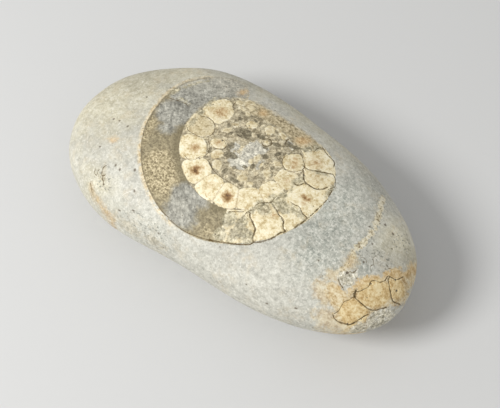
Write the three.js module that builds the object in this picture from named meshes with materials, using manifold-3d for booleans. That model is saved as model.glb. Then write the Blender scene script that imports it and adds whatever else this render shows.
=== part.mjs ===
// A water-worn limestone pebble with an ammonite inside it. The sea has cut the pebble's upper face down
// through the coiled shell, so the fossil shows there as a natural slice, flush with the stone.
// Stone and fossil are one solid body. Millimetres, +Z up: the pebble lies flat on its worn underside at
// z = 0, its long axis runs along X, and the origin is under the middle of its outline.
import * as THREE from "three";
import { mergeVertices } from "three/addons/utils/BufferGeometryUtils.js";
import Module from "manifold-3d";

// Driving dimensions
const HALF_LENGTH = 47.0; // centre to the long ends, before the outline's own swells
const HALF_WIDTH = 26.5; // centre to the long sides
const CROWN = 13.6; // height of the top above the girth
const BELLY = 14.9; // depth of the underside below the girth, before it is worn flat
const WORN_OFF = 0.5; // taken off the underside to leave the face that the pebble rests on

// How square each curve is: 2 is an ellipse, more is boxier.
const OUTLINE_SQUARENESS = 2.3;
const CROWN_SQUARENESS = 2.2;
const BELLY_SQUARENESS = 2.1;

// The outline's swells and hollows as shares of the plain oval, anticlockwise from the +X end in even steps.
const OUTLINE_SWELLS = [
  1.0, 0.89, 0.89, 0.9, 0.95, 1.0, 1.03, 0.98, 1.01, 1.06, 1.07, 0.98, 0.95, 0.97, 1.02, 1.06,
];

// Broad faces that the beach has rubbed a little flatter. Each has the way it faces, in degrees
// anticlockwise from +X and above the horizontal, how deep its middle is rubbed in mm, and how far in
// from the pebble's furthest point that way the rubbing reaches in mm.
const RUBBED_FACES = [
  { turn: 262, lift: 24, depth: 0.45, reach: 5 }, // long near side
  { turn: 205, lift: 10, depth: 0.4, reach: 4 }, // corner of the blunt end
  { turn: 70, lift: 20, depth: 0.4, reach: 4.5 }, // long far side
  { turn: 330, lift: 42, depth: 0.35, reach: 4 }, // shoulder of the narrow end
  { turn: 120, lift: -40, depth: 0.5, reach: 5 }, // far side of the underside
  { turn: 300, lift: -44, depth: 0.5, reach: 5 }, // near side of the underside
  { turn: 20, lift: -30, depth: 0.4, reach: 4 }, // under the narrow end
];

const SURFACE_DETAIL = 17; // each face of the starting icosahedron is split this many times, plus one
const CUTTER_DEPTH = 20; // thickness of the block that takes off the underside

// A smooth closed curve through evenly spaced values, read at a turn from 0 to 1.
function alongRing(values, turn) {
  const place = (((turn % 1) + 1) % 1) * values.length;
  const step = Math.floor(place);
  const share = place - step;
  const at = (offset) => values[(step + offset + values.length) % values.length];
  const [before, from, to, after] = [at(-1), at(0), at(1), at(2)];
  const bend = 2 * before - 5 * from + 4 * to - after;
  const twist = 3 * from - before - 3 * to + after;
  return from + 0.5 * share * (to - before + share * (bend + share * twist));
}

// Distance from the middle to the girth line, towards an angle in plan.
function girthRadius(angle) {
  const along = Math.abs(Math.cos(angle)) / HALF_LENGTH;
  const across = Math.abs(Math.sin(angle)) / HALF_WIDTH;
  const oval = (along ** OUTLINE_SQUARENESS + across ** OUTLINE_SQUARENESS) ** (-1 / OUTLINE_SQUARENESS);
  return oval * alongRing(OUTLINE_SWELLS, angle / (2 * Math.PI));
}

// The point of the unworn pebble that a point of the unit ball goes to, measured from the girth's middle.
function swollenPoint(point) {
  const rises = point.z > 0;
  const reach = rises ? CROWN : BELLY;
  const squareness = rises ? CROWN_SQUARENESS : BELLY_SQUARENESS;
  point.set(point.x * HALF_LENGTH, point.y * HALF_WIDTH, point.z * reach);
  const outward = Math.hypot(point.x, point.y) / girthRadius(Math.atan2(point.y, point.x));
  const upward = Math.abs(point.z) / reach;
  return point.multiplyScalar((outward ** squareness + upward ** squareness) ** (-1 / squareness));
}

// The way a rubbed face looks, as a unit vector.
function facing({ turn, lift }) {
  const polar = THREE.MathUtils.degToRad(90 - lift);
  const around = THREE.MathUtils.degToRad(turn);
  return new THREE.Vector3(
    Math.sin(polar) * Math.cos(around),
    Math.sin(polar) * Math.sin(around),
    Math.cos(polar),
  );
}

// Presses the points near the furthest one back along a rubbed face's facing, most at its middle.
function rubFlatter(points, face) {
  const towards = facing(face);
  const furthest = Math.max(...points.map((point) => point.dot(towards)));
  for (const point of points) {
    const share = Math.max(0, 1 - (furthest - point.dot(towards)) / face.reach);
    point.addScaledVector(towards, -face.depth * share ** 3);
  }
}

// The whole pebble as a closed mesh, resting plane at z = 0, before its underside is cut.
function pebbleGeometry() {
  const ball = new THREE.IcosahedronGeometry(1, SURFACE_DETAIL);
  ball.deleteAttribute("normal");
  ball.deleteAttribute("uv");
  const geometry = mergeVertices(ball, 1e-5);
  const place = geometry.getAttribute("position");
  const points = Array.from({ length: place.count }, (_, i) =>
    swollenPoint(new THREE.Vector3().fromBufferAttribute(place, i)),
  );
  RUBBED_FACES.forEach((face) => rubFlatter(points, face));
  points.forEach((point, i) => place.setXYZ(i, point.x, point.y, point.z));
  geometry.computeBoundingBox();
  const { min, max } = geometry.boundingBox;
  return geometry.translate(-(min.x + max.x) / 2, -(min.y + max.y) / 2, -min.z - WORN_OFF);
}

// A closed, merged geometry as a solid.
function solidOf(wasm, geometry) {
  return new wasm.Manifold(
    new wasm.Mesh({
      numProp: 3,
      vertProperties: new Float32Array(geometry.getAttribute("position").array),
      triVerts: new Uint32Array(geometry.index.array),
    }),
  );
}

// A solid back as a geometry that three.js draws.
function geometryOf(solid) {
  const { vertProperties, triVerts } = solid.getMesh();
  const geometry = new THREE.BufferGeometry();
  geometry.setAttribute("position", new THREE.BufferAttribute(vertProperties, 3));
  geometry.setIndex(new THREE.BufferAttribute(triVerts, 1));
  geometry.computeVertexNormals();
  return geometry;
}

const wasm = await Module();
wasm.setup();

// The block under z = 0 that leaves the pebble a true flat to rest on.
const cutter = new THREE.BoxGeometry(3 * HALF_LENGTH, 4 * HALF_WIDTH, CUTTER_DEPTH);
cutter.deleteAttribute("normal");
cutter.deleteAttribute("uv");
cutter.translate(0, 0, -CUTTER_DEPTH / 2);
const worn = solidOf(wasm, pebbleGeometry()).subtract(solidOf(wasm, mergeVertices(cutter)));

const limestone = new THREE.MeshStandardMaterial({ color: 0xb9b7ab, roughness: 0.72, metalness: 0 });
const pebble = new THREE.Mesh(geometryOf(worn), limestone);
pebble.name = "ammonite_pebble";

const part = new THREE.Group();
part.add(pebble);

export default part;
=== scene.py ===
import math

import bmesh
import bpy
import numpy as np
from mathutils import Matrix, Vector, noise


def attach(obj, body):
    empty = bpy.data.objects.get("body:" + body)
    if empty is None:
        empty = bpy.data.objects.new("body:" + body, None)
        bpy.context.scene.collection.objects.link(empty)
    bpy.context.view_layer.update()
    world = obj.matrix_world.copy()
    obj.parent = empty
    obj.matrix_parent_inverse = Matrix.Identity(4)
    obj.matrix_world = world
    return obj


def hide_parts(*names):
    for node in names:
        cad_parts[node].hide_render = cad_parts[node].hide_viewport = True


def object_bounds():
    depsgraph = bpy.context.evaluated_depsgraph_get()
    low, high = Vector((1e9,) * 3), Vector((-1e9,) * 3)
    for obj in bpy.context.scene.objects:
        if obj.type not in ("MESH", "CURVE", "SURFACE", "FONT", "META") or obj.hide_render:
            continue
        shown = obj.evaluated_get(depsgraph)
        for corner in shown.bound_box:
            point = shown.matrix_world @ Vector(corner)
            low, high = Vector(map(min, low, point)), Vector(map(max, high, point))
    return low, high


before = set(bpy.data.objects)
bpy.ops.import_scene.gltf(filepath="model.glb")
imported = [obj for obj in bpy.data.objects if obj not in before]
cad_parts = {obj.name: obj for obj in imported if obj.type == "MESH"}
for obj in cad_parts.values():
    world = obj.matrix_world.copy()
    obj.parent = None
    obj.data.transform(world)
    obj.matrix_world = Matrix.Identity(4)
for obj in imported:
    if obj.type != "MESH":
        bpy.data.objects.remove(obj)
cadLow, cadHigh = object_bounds()

mm = 0.001
farAway = 9.0    # mm: stands for out of reach of a line or a patch

# Camera, light and floor

view = {
    "turn": 34,                # degrees round the pebble from looking along +Y
    "height": 60,              # degrees above the floor
    "distance": 238,           # mm
    "aim": (2.9, -2.6, 13.5),  # mm from the middle of the pebble's footprint
    "lens": 70,
}

light = {
    "keyFrom": (-0.42, -0.60, 0.68),  # direction in which the lamp stands
    "keyAim": (0, 0, 14),      # mm
    "keySize": 260,            # mm across
    "keyDistance": 700,        # mm
    "keyPower": 4.1,           # W
    "sky": 0.54,               # strength of the even light from all round
    "floor": (0.62, 0.62, 0.61),
    "floorRoughness": 0.85,
    "floorReach": 2000,        # mm from the middle to the sides
}


def look(thing, target):
    away = Vector(target) - thing.location
    thing.rotation_euler = away.to_track_quat("-Z", "Y").to_euler()


def addObject(name, data):
    thing = bpy.data.objects.new(name, data)
    bpy.context.collection.objects.link(thing)
    return thing


def makeCamera():
    turn = math.radians(view["turn"])
    height = math.radians(view["height"])
    side, forward = math.sin(turn) * math.cos(height), -math.cos(turn) * math.cos(height)
    back = Vector((side, forward, math.sin(height)))
    aim = Vector(view["aim"]) * mm
    camera = addObject("camera", bpy.data.cameras.new("camera"))
    camera.data.lens = view["lens"]
    camera.data.clip_start = 0.01
    camera.location = aim + back * view["distance"] * mm
    look(camera, aim)
    bpy.context.scene.camera = camera


def makeLight():
    key = addObject("keyLight", bpy.data.lights.new("keyLight", "AREA"))
    key.data.shape = "DISK"
    key.data.size = light["keySize"] * mm
    key.data.energy = light["keyPower"]
    key.location = Vector(light["keyFrom"]).normalized() * light["keyDistance"] * mm
    look(key, Vector(light["keyAim"]) * mm)
    world = bpy.data.worlds.new("studio")
    world.use_nodes = True
    world.node_tree.nodes["Background"].inputs["Strength"].default_value = light["sky"]
    world.node_tree.nodes["Background"].inputs["Color"].default_value = (1, 1, 1, 1)
    bpy.context.scene.world = world
    bpy.context.scene.view_settings.view_transform = "Standard"


def makeFloor():
    bm = bmesh.new()
    bmesh.ops.create_grid(bm, x_segments=1, y_segments=1, size=light["floorReach"] * mm)
    mesh = bpy.data.meshes.new("floor")
    bm.to_mesh(mesh)
    bm.free()
    paper = bpy.data.materials.new("paper")
    paper.use_nodes = True
    shader = paper.node_tree.nodes["Principled BSDF"]
    shader.inputs["Base Color"].default_value = (*light["floor"], 1)
    shader.inputs["Roughness"].default_value = light["floorRoughness"]
    mesh.materials.append(paper)
    addObject("floor", mesh)


makeCamera()
makeLight()
makeFloor()
print("camera, light and floor are in place")

# The pebble. Every length here is in mm, and x and y are measured from the middle of its footprint.
# A turn on the coil is in degrees, clockwise from +x as seen from above, and grows with the shell.

pebble = {
    "node": "ammonite_pebble",
    "slot": "fossil_limestone",
    "plainEdge": 1.15,         # longest mesh edge on plain stone
    "fossilEdge": 0.39,        # and over the fossil
    "seamEdge": 0.18,          # and along its dark seams
    "fossilMargin": 0.8,       # how far outside the fossil the mesh is still fine
    "seamMargin": 0.3,         # and to each side of a seam
    "halvings": 5,             # how often an edge is cut in half at most
    "smoothings": 3,           # passes that even out the finished mesh
    "swell": (0.10, 9.0),      # height and size of the broad unevenness
    "ripple": (0.018, 1.7),    # and of the fine one
    "restFade": (0.05, 1.2),   # heights between which all relief fades out near the face it rests on
    "fineLumps": 0.55,         # size of the small lumps of rough places
    "shellRise": 0.05,         # how far the calcite stands out
    "livingSink": 0.10,        # how far the living chamber is sunk
    "gritRough": 0.035,        # height of the grit's lumps
    "seamDepth": 0.45,         # depth of a seam, as a share of its width
    "seamFlare": 0.7,          # how far from a seam its groove reaches, as a share of its width
    "heartDepth": 0.16,        # depth of the pits in the chambers' hearts
    "innerSink": 0.05,         # how far the inner whorls are sunk
    "innerRough": 0.04,        # height of the lumps there
    "chipSink": 0.15,          # how far chipped places are sunk
    "chipRough": 0.10,         # and there
    "ochreRough": 0.03,        # and on the second fossil patch
    "coilMiddle": (-1.0, 1.0),
    "coilStart": -390,         # turn at which coilEdge starts
    "coilStep": 30,            # turn from one value of coilEdge to the next
    # How far the outer edge of the shell's tube is from the coil's middle.
    "coilEdge": [
        9.0, 9.2, 9.2, 9.0, 8.3, 8.6, 9.1, 9.7, 10.8, 12.2, 11.6, 12.2, 14.2, 14.1, 14.2, 14.5, 14.5, 14.8,
        15.5, 16.8, 18.0, 17.2, 15.2, 17.0, 21.2, 22.2, 22.2, 21.9, 22.4, 23.5, 24.8, 26.4, 27.6, 23.5,
        11.0,
    ],
    "outerTube": (317, 432),   # turns that the calcite of the outer chambers fills
    "livingTube": (432, 598),  # turns of the living chamber, filled with brown sediment
    "mouth": 598,              # turn at which the shell ends
    "wornTube": (236, 318),    # turns of the second whorl that are worn down to a brown band
    "rimTurns": (456, 584),    # turns of the living chamber with a tan line round its outside
    "rimFade": 12,             # degrees over which that line ends
    "vagueTurn": 250,          # middle of the stretch where the coil's edge is vague
    "vagueReach": (80, 40),    # degrees from there at which it starts and is full
    # Chambers of the second whorl: turn of the middle, half length in degrees, how stained the calcite is.
    "chambers": [
        (-24, 12.5, 0.16), (1, 12.0, 0.10), (25, 12.5, 0.0), (51, 14.5, 0.05), (76, 13.0, 0.0),
        (100, 13.0, 0.0), (127, 15.0, 0.0), (156, 14.5, 0.0), (184, 13.0, 0.6), (211, 13.8, 0.12),
    ],
    "chamberPower": 3.4,       # how square the chambers are; 2 would make them ovals
    "chamberRadius": 12,       # distance from the coil's middle at which their half length is measured
    "chamberLimit": 2.7,       # and the longest that it counts for
    "outerStain": 0.05,        # stain of the outer chambers
    "shellBlend": 0.12,        # how far chambers that meet run into each other
    # Broader stains: x, y, half length, half width, slant, amount.
    "stainTones": [(7.5, -15.6, 3.6, 2.4, -15, 0.5), (16.4, 5.6, 2.0, 1.4, 0, 0.2)],
    # Smaller lumps of calcite in the inner whorls: x, y, half length, half width, slant, stain.
    "lumps": [
        (-7.9, 0.2, 2.0, 1.5, 10, 0.22), (-6.5, -2.6, 1.5, 1.3, 60, 0.3), (-4.8, -4.9, 1.5, 1.1, -30, 0.5),
        (-4.5, 9.2, 1.4, 1.2, 20, 0.14), (-0.2, 10.5, 1.2, 1.6, 20, 0.3), (3.3, 11.0, 1.4, 0.8, -25, 0.4),
        (2.0, 1.6, 0.7, 1.1, 0, 0.5), (1.4, 6.8, 0.65, 0.65, 0, 0.3), (1.3, -0.1, 0.5, 0.8, 20, 0.3),
        (4.5, -5.0, 0.8, 0.7, 30, 0.4), (2.2, -4.6, 1.2, 1.0, 0, 0.9), (-10.6, 13.6, 1.7, 0.8, 15, 0.5),
        (-7.9, 13.9, 1.4, 0.8, -10, 0.5), (-9.4, 12.3, 1.3, 0.6, 0, 0.6), (-7.4, 11.7, 0.9, 0.6, -30, 0.6),
        (-7.6, 7.0, 1.1, 0.8, 40, 0.8), (-8.2, 4.6, 1.2, 0.8, 60, 0.9), (3.9, 0.7, 0.4, 0.8, 0, 0.2),
        (6.9, 3.0, 1.1, 0.8, 0, 0.8), (6.2, -0.6, 1.0, 1.0, 0, 0.9), (9.4, 12.0, 1.2, 0.8, 30, 0.8),
        (-9.0, 15.2, 1.5, 0.8, 0, 0.5), (1.3, 12.2, 0.9, 0.6, 30, 0.7),
    ],
    # Brown hearts of the chambers: x, y, radius, strength.
    "hearts": [
        (-12.6, 8.2, 2.6, 0.5), (-14.6, 7.4, 1.8, 0.28), (-11.8, -4.0, 2.2, 0.40), (-8.1, -8.8, 1.9, 0.85),
        (-7.5, -7.6, 1.2, 0.6), (-3.2, -10.0, 1.8, 0.24), (1.9, -10.4, 1.9, 1.0), (11.0, 0.5, 1.6, 0.3),
        (9.9, 5.8, 2.2, 0.32), (9.3, 6.9, 1.0, 0.40), (10.2, 4.6, 1.0, 0.44), (10.6, 5.9, 0.8, 0.36),
        (16.4, -0.7, 0.8, 0.74), (17.1, -0.9, 1.0, 0.90), (17.9, -0.7, 0.8, 0.64), (17.4, -2.2, 1.2, 0.34),
        (16.9, -0.8, 2.4, 0.26), (13.9, 8.8, 3.2, 0.32), (13.4, 10.8, 2.2, 0.16), (9.6, -4.9, 0.9, 0.25),
        (16.3, 5.4, 2.6, 0.2), (11.4, -8.6, 2.6, 0.30), (13.5, -8.6, 1.6, 0.3), (8.6, 3.9, 1.0, 0.2),
        (5.0, -8.6, 1.2, 0.14), (-7.9, 0.3, 1.7, 0.38), (-6.4, -2.6, 1.2, 0.28), (-0.3, 10.3, 1.1, 0.26),
    ],
    # The lists of patches and of soft tones that are markings under their own names.
    "patchLists": (
        "greyPatches", "murkyPatches", "darkPatches", "sparPatches", "rustSpots", "grittyPatches",
        "ochreChambers", "palePatches", "speckled", "chipped",
    ),
    "toneLists": ("fadedTones", "warmTones", "coolTones", "lightness"),
    # Patches in the fossil: x, y, half length, half width, slant, and for tones an amount.
    "greyPatches": [  # grey stone in the living chamber
        (-22.4, 2.2, 4.9, 4.2, 10), (-20.0, 12.0, 9.0, 7.4, 60), (-15.0, 17.0, 8.0, 6.5, 20),
        (-21.0, -2.6, 2.2, 1.6, 30), (-6.4, -15.6, 3.7, 3.6, 0), (-5.6, -18.6, 4.2, 3.0, 0),
        (-3.4, -14.2, 2.4, 1.6, -10),
    ],
    "fadedTones": [  # where that stone is paler
        (-16.0, 18.5, 6.0, 4.0, 10, 1.0), (-24.6, 14.0, 3.0, 3.0, 0, 0.7), (-6.5, -17.8, 2.6, 2.4, 0, 0.2),
    ],
    "murkyPatches": [  # greyish brown stone between the outer chambers and along the rim
        (13.0, -5.5, 3.0, 1.7, -12), (17.0, -5.1, 2.8, 0.9, -6), (8.2, -14.4, 1.2, 2.4, -10),
        (8.1, -17.3, 1.0, 1.7, -10), (5.2, -14.6, 1.6, 1.9, 0), (9.6, -15.6, 2.6, 1.4, 12),
        (10.4, -8.4, 2.2, 1.6, -15), (13.3, 2.2, 0.9, 1.7, -20), (13.2, -0.7, 0.4, 0.8, 0),
        (12.5, -3.2, 0.9, 0.9, 0), (16.3, 7.3, 1.8, 0.6, 25), (20.5, 4.4, 0.7, 2.2, 0),
        (10.0, 11.2, 1.6, 0.9, 40), (11.5, 13.5, 0.9, 1.2, 0), (5.2, -18.4, 1.6, 1.6, 0),
        (11.6, -16.8, 1.2, 0.6, 30), (8.6, -10.2, 0.7, 1.1, 0), (-16.9, 5.6, 0.7, 1.0, 0),
        (-16.8, 9.6, 0.6, 2.0, 0), (-16.6, 2.2, 0.7, 1.6, 0), (-26.8, 7.9, 1.8, 0.9, 70),
        (-25.0, 11.6, 1.8, 0.5, 60), (-23.2, 14.5, 1.6, 0.4, 50), (-22.9, 6.5, 1.9, 0.45, -2),
    ],
    "darkPatches": [  # dark cores of the small inner chambers
        (-4.6, 5.9, 2.0, 1.5, 10), (-3.6, -1.1, 1.9, 0.95, 14), (-5.0, 0.9, 0.8, 1.4, 0),
        (3.4, 7.7, 1.3, 0.6, 15), (-0.7, 7.5, 1.2, 0.7, 0), (5.6, 9.6, 0.9, 0.9, 0),
        (5.3, 5.5, 0.6, 0.9, -20), (3.3, 3.2, 1.0, 0.6, 0), (2.3, -0.9, 0.5, 1.0, 15),
        (0.9, -1.9, 0.7, 0.5, 0), (-2.3, -5.2, 0.6, 0.8, 0), (0.8, -6.2, 1.4, 0.5, 0),
        (-8.5, -2.6, 0.4, 1.0, 20), (-7.9, 9.2, 0.7, 0.5, 0), (1.8, 5.4, 0.8, 0.5, 0),
        (7.4, 9.8, 1.4, 0.6, 20), (-1.0, -3.4, 0.5, 0.5, 0), (-6.0, -6.0, 1.4, 0.4, -20),
        (6.5, 1.4, 0.7, 0.4, 0), (7.3, -0.2, 0.4, 0.6, 0), (-8.8, 5.8, 0.5, 0.9, 20),
        (-7.3, 4.1, 0.8, 0.4, 30), (-4.6, 10.9, 0.6, 0.4, 0), (-3.2, 10.9, 0.4, 0.4, 0),
    ],
    "sparPatches": [  # white crystals round the innermost whorl
        (-0.2, 2.6, 2.0, 3.4, 0), (1.6, 4.2, 1.6, 1.2, 30), (-1.2, -2.0, 2.4, 1.6, 0),
        (-4.0, 1.4, 1.0, 1.6, 0), (0.2, -0.6, 1.6, 1.2, 0), (3.5, 0.6, 0.6, 1.4, 0),
        (5.8, 10.4, 0.7, 0.5, 0), (-2.6, -0.2, 1.4, 0.6, 0), (7.0, 8.9, 0.5, 0.5, 0),
    ],
    "rustSpots": [
        (7.6, 12.9, 1.9, 1.3, 60), (-4.6, 14.3, 1.0, 1.0, 0), (-12.8, 17.6, 0.9, 1.4, 0),
        (-30.8, -11.4, 0.9, 0.6, 20),
    ],
    "grittyPatches": [  # coarse grit in the living chamber
        (-15.5, -13.4, 6.2, 4.6, -40), (3.2, -18.9, 2.0, 0.8, 15), (-25.0, -4.0, 1.0, 5.0, 12),
    ],
    # The second fossil patch, which runs over the narrow end.
    "ochrePatches": [
        (41.0, -10.0, 6.0, 3.6, 50), (39.6, -15.6, 4.4, 3.2, 35), (44.2, -5.0, 3.2, 4.4, 0),
        (45.6, 1.0, 1.6, 4.4, 0), (34.8, -15.4, 2.6, 2.0, -10),
    ],
    "ochreHints": [  # where it shows faintly through the stone
        (32.4, -16.4, 3.0, 2.2, -10), (36.0, -19.6, 3.6, 1.5, 20), (33.6, -7.8, 1.3, 2.4, 0),
        (31.8, -12.8, 1.7, 1.4, 60), (33.2, -11.2, 1.1, 2.4, 0), (37.0, -19.2, 3.0, 1.2, 20),
        (36.2, -16.2, 1.8, 1.6, 0),
    ],
    "ochreChambers": [(39.6, -15.7, 3.3, 2.4, 35), (41.4, -9.7, 3.9, 2.6, 52), (44.6, -5.4, 2.3, 2.0, 60)],
    "ochreBand": [(34.6, -13.6), (37.4, -10.6), (39.2, -7.2), (41.6, -4.2), (43.8, -1.8), (45.2, 2.0)],
    "ochreArea": (39, -9, 11), # middle and reach of the finer mesh there
    "ochreFoot": 8.0,          # height under which the ochre fades
    "ochreFade": 0.8,          # mm that its edge draws in for each mm lower
    "palePatches": [  # pale grey crystals on it
        (34.6, -11.5, 2.1, 1.5, 10), (35.6, -9.6, 0.8, 1.2, -20), (44.9, -12.4, 3.8, 1.2, 58),
        (42.0, -17.0, 1.8, 0.7, 50),
    ],
    "vein": [  # the tan vein that runs down beside it
        (30.6, 12.5), (31.8, 9.0), (32.8, 6.0), (33.5, 2.5), (33.5, -1.5), (32.8, -4.6), (33.5, -8.0),
        (32.4, -11.5),
    ],
    # Ochre stain along the foot of the near side, and speckled stone.
    "footStain": [
        (-30.2, -22.4), (-28.4, -23.6), (-26.6, -24.2), (-24.8, -24.8), (-22.8, -25.4), (-20.6, -25.8),
    ],
    "footHeight": 12,          # height under which that stain fades
    "speckled": [
        (-12.0, -24.3, 9.0, 2.4, 0), (-27.0, -20.5, 4.0, 3.0, -30), (38.5, -3.0, 3.6, 3.0, 0),
        (34.0, -3.0, 2.0, 6.0, 0), (40.0, 5.0, 3.0, 3.0, 0),
    ],
    # Broad tones of the limestone: x, y, half length, half width, slant, amount.
    "warmTones": [
        (-42.0, 2.0, 17.0, 18.0, 0, 1.0), (-30.0, 17.0, 14.0, 7.0, 20, 0.5),
        (4.0, 24.0, 30.0, 6.5, -8, 0.8), (40.0, 4.0, 7.0, 7.0, 0, 0.9), (-28.0, -22.0, 7.0, 3.0, -15, 0.7),
    ],
    "coolTones": [
        (26.0, 0.0, 8.0, 15.0, 8, 1.0), (25.0, -10.0, 7.0, 7.0, 0, 0.5), (-12.0, -24.0, 14.0, 3.0, 0, 0.3),
        (36.6, -6.8, 2.0, 1.8, 30, 0.9),
    ],
    # Where the stone is a little darker or lighter than the rest: the broad patches at the ends and edges
    # are painted shade and painted light, the small ones in the fossil its own tone.
    "lightness": [
        (-38.0, 8.0, 8.0, 6.0, 0, -0.16), (-34.0, -12.0, 6.0, 6.0, 0, -0.10),
        (5.0, 21.0, 16.0, 4.0, -8, 0.16), (38.0, 7.0, 6.0, 6.5, 0, 0.20), (28.0, 9.0, 6.0, 5.0, 0, 0.04),
        (-15.0, -23.5, 7.0, 3.0, -10, 0.10), (-21.6, 4.8, 3.2, 1.3, 0, -0.20),
        (-25.4, 1.6, 1.0, 1.5, 0, 0.22), (-21.6, 0.9, 1.0, 2.4, 45, 0.14), (-22.0, 9.3, 2.2, 1.2, 0, -0.18),
        (-18.2, 11.6, 1.2, 1.7, 0, 0.18), (-24.5, 12.6, 1.2, 1.2, 0, 0.15),
        (8.6, -15.3, 2.8, 2.0, -15, -0.30), (-29.0, -22.2, 1.1, 0.8, -30, 0.25),
        (-6.6, -18.3, 0.8, 1.8, -35, 0.20), (-7.0, -14.8, 1.6, 1.2, 0, -0.12),
        (-8.2, 7.6, 1.8, 2.6, 20, -0.10), (5.2, 6.6, 1.4, 2.2, -15, -0.08),
        (-3.0, 12.5, 5.0, 1.4, 0, -0.05),
    ],
    "scratchReach": 0.6,       # how far to each side of a scratch it is looked for
    # Faint pale scratches.
    "scratches": [
        [(15.1, -16.0), (15.7, -17.3), (16.1, -18.8)], [(16.8, -21.8), (17.5, -23.6)],
        [(17.8, -16.3), (18.6, -18.0)], [(20.5, -15.4), (22.0, -15.2), (24.0, -15.5)],
        [(22.1, -20.2), (21.7, -22.3)], [(12.5, -20.6), (13.7, -22.4)], [(-34.5, 6.0), (-36.5, 2.0)],
        [(24.6, 15.8), (27.5, 13.4)], [(-20.9, -22.2), (-19.5, -20.6), (-16.8, -18.6)],
        [(-26.3, 6.3), (-23.5, 6.5), (-20.2, 6.3)], [(-13.0, -20.1), (-10.5, -20.6), (-7.0, -20.9)],
    ],
    # Pores: x, y, radius, depth.
    "pores": [
        (-29.8, -6.8, 0.42, 0.30), (-34.6, -6.6, 0.26, 0.18), (-26.2, -16.8, 0.36, 0.25),
        (-24.5, -16.9, 0.32, 0.22), (-21.4, -15.6, 0.24, 0.15), (-31.5, 3.2, 0.28, 0.15),
        (-33.1, -14.4, 0.26, 0.2), (-28.8, 8.6, 0.22, 0.15), (-17.3, 16.8, 0.30, 0.15),
        (35.3, -0.8, 0.30, 0.2), (32.5, 2.1, 0.26, 0.15), (35.4, 5.5, 0.30, 0.15), (37.5, 4.9, 0.34, 0.15),
        (39.3, 1.4, 0.28, 0.15), (35.8, -5.8, 0.36, 0.2), (34.3, -10.1, 0.45, 0.25),
        (28.5, -22.2, 0.24, 0.2), (21.9, -24.1, 0.40, 0.25), (-8.5, -24.0, 0.45, 0.25),
        (45.0, -5.6, 0.36, 0.2), (30.1, -14.0, 0.22, 0.12), (27.5, -11.6, 0.24, 0.1),
        (-6.5, -25.3, 0.35, 0.2), (-16.4, -23.2, 0.25, 0.15), (21.8, 2.0, 0.26, 0.15),
    ],
    "strayPores": 80,
    "straySeed": 7,            # picks where they lie
    "straySize": (0.10, 0.30),
    "strayDepth": (0.4, 0.8),  # as a share of the size
    # Rough, chipped places: x, y, half length, half width, slant.
    "chipped": [
        (-28.0, -19.0, 2.0, 0.5, -60), (-29.0, -23.3, 2.0, 0.8, -30), (44.4, -12.9, 3.0, 1.1, 58),
        (-16.5, -25.5, 3.5, 0.5, 0), (-9.0, -25.2, 3.0, 0.4, 2), (-27.9, 7.4, 2.6, 0.7, 80),
        (-25.7, 13.6, 2.0, 0.6, 52),
    ],
    # Dark seams: their width, then the points that each runs through.
    "seams": [
        (0.20, [(12.4, 14.5), (13.5, 13.7), (15.0, 13.0), (16.3, 12.7), (17.1, 12.2), (17.5, 11.1)]),
        (0.24, [(12.0, 6.3), (13.3, 6.2), (14.5, 6.7), (16.5, 7.8), (17.5, 8.3), (18.6, 8.9)]),
        (0.14, [(18.6, 8.9), (19.7, 8.1), (20.5, 6.9), (20.8, 6.1), (20.3, 5.0)]),
        (0.28, [(12.6, 5.3), (13.4, 4.2), (14.1, 3.2), (15.0, 2.7), (17.3, 2.6), (18.3, 3.1), (19.1, 3.9),
                (19.5, 4.9)]),
        (0.26, [(14.9, 2.7), (14.5, 2.1), (14.2, 1.4), (13.6, 0.9), (13.1, 0.9)]),
        (0.13, [(9.4, 9.2), (10.2, 8.6), (11.1, 7.6), (12.0, 6.8), (12.4, 6.0), (12.2, 4.8), (11.3, 3.8),
                (10.5, 3.1), (9.5, 2.9), (8.3, 3.4), (7.3, 4.3), (7.0, 5.6), (7.4, 7.0)]),
        (0.20, [(15.1, -3.7), (16.2, -3.7), (17.0, -3.5), (17.9, -4.0), (18.7, -4.5), (20.2, -4.8)]),
        (0.26, [(12.4, -6.8), (13.5, -7.3), (14.5, -7.9), (15.5, -8.0), (16.0, -8.5), (16.8, -9.8),
                (17.6, -10.3)]),
        (0.46, [(15.4, -8.1), (16.0, -8.5), (16.3, -8.9)]),
        (0.31, [(8.6, -11.0), (9.2, -11.8), (10.8, -12.8), (11.7, -13.5), (12.0, -14.4), (12.4, -15.6),
                (13.0, -16.0)]),
        (0.18, [(8.9, -9.9), (8.3, -10.4), (7.9, -11.2), (7.8, -12.2)]),
        (0.19, [(4.3, -13.1), (5.5, -12.4), (6.5, -11.9), (7.1, -11.5)]),
        (0.15, [(11.3, -5.0), (11.2, -6.2), (10.4, -6.9), (9.3, -7.6), (8.7, -8.6), (8.7, -9.3)]),
        (0.34, [(20.1, -4.9), (19.8, -6.3), (19.3, -7.5), (19.1, -8.3)]),
        (0.34, [(17.8, -10.3), (16.9, -11.4), (15.9, -13.5), (14.1, -15.4), (13.0, -16.1)]),
        (0.26, [(13.0, -16.1), (12.3, -17.0), (10.6, -17.9), (7.9, -19.0), (3.5, -20.4)]),
        (0.09, [(3.5, -20.4), (-2.0, -21.3), (-6.0, -21.1), (-10.5, -20.2)]),
        (0.24, [(21.2, 1.7), (21.1, 0.8)]),
        (0.20, [(21.0, -0.1), (20.9, -0.7)]),
        (0.30, [(20.8, -1.4), (20.7, -2.2)]),
        (0.24, [(20.6, -3.0), (20.4, -3.9)]),
        (0.18, [(20.4, -4.3), (20.1, -4.9)]),
        (0.20, [(21.0, 3.3), (20.9, 4.5)]),
        (0.14, [(11.8, 13.8), (11.6, 12.6), (11.6, 11.6)]),
        (0.13, [(-17.0, 0.0), (-16.0, -0.7), (-14.0, -0.8), (-12.3, -0.6), (-11.2, 0.3), (-10.7, 1.5),
                (-10.9, 2.8), (-11.7, 4.0), (-12.9, 4.8), (-14.5, 5.0), (-16.0, 4.6)]),
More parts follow.
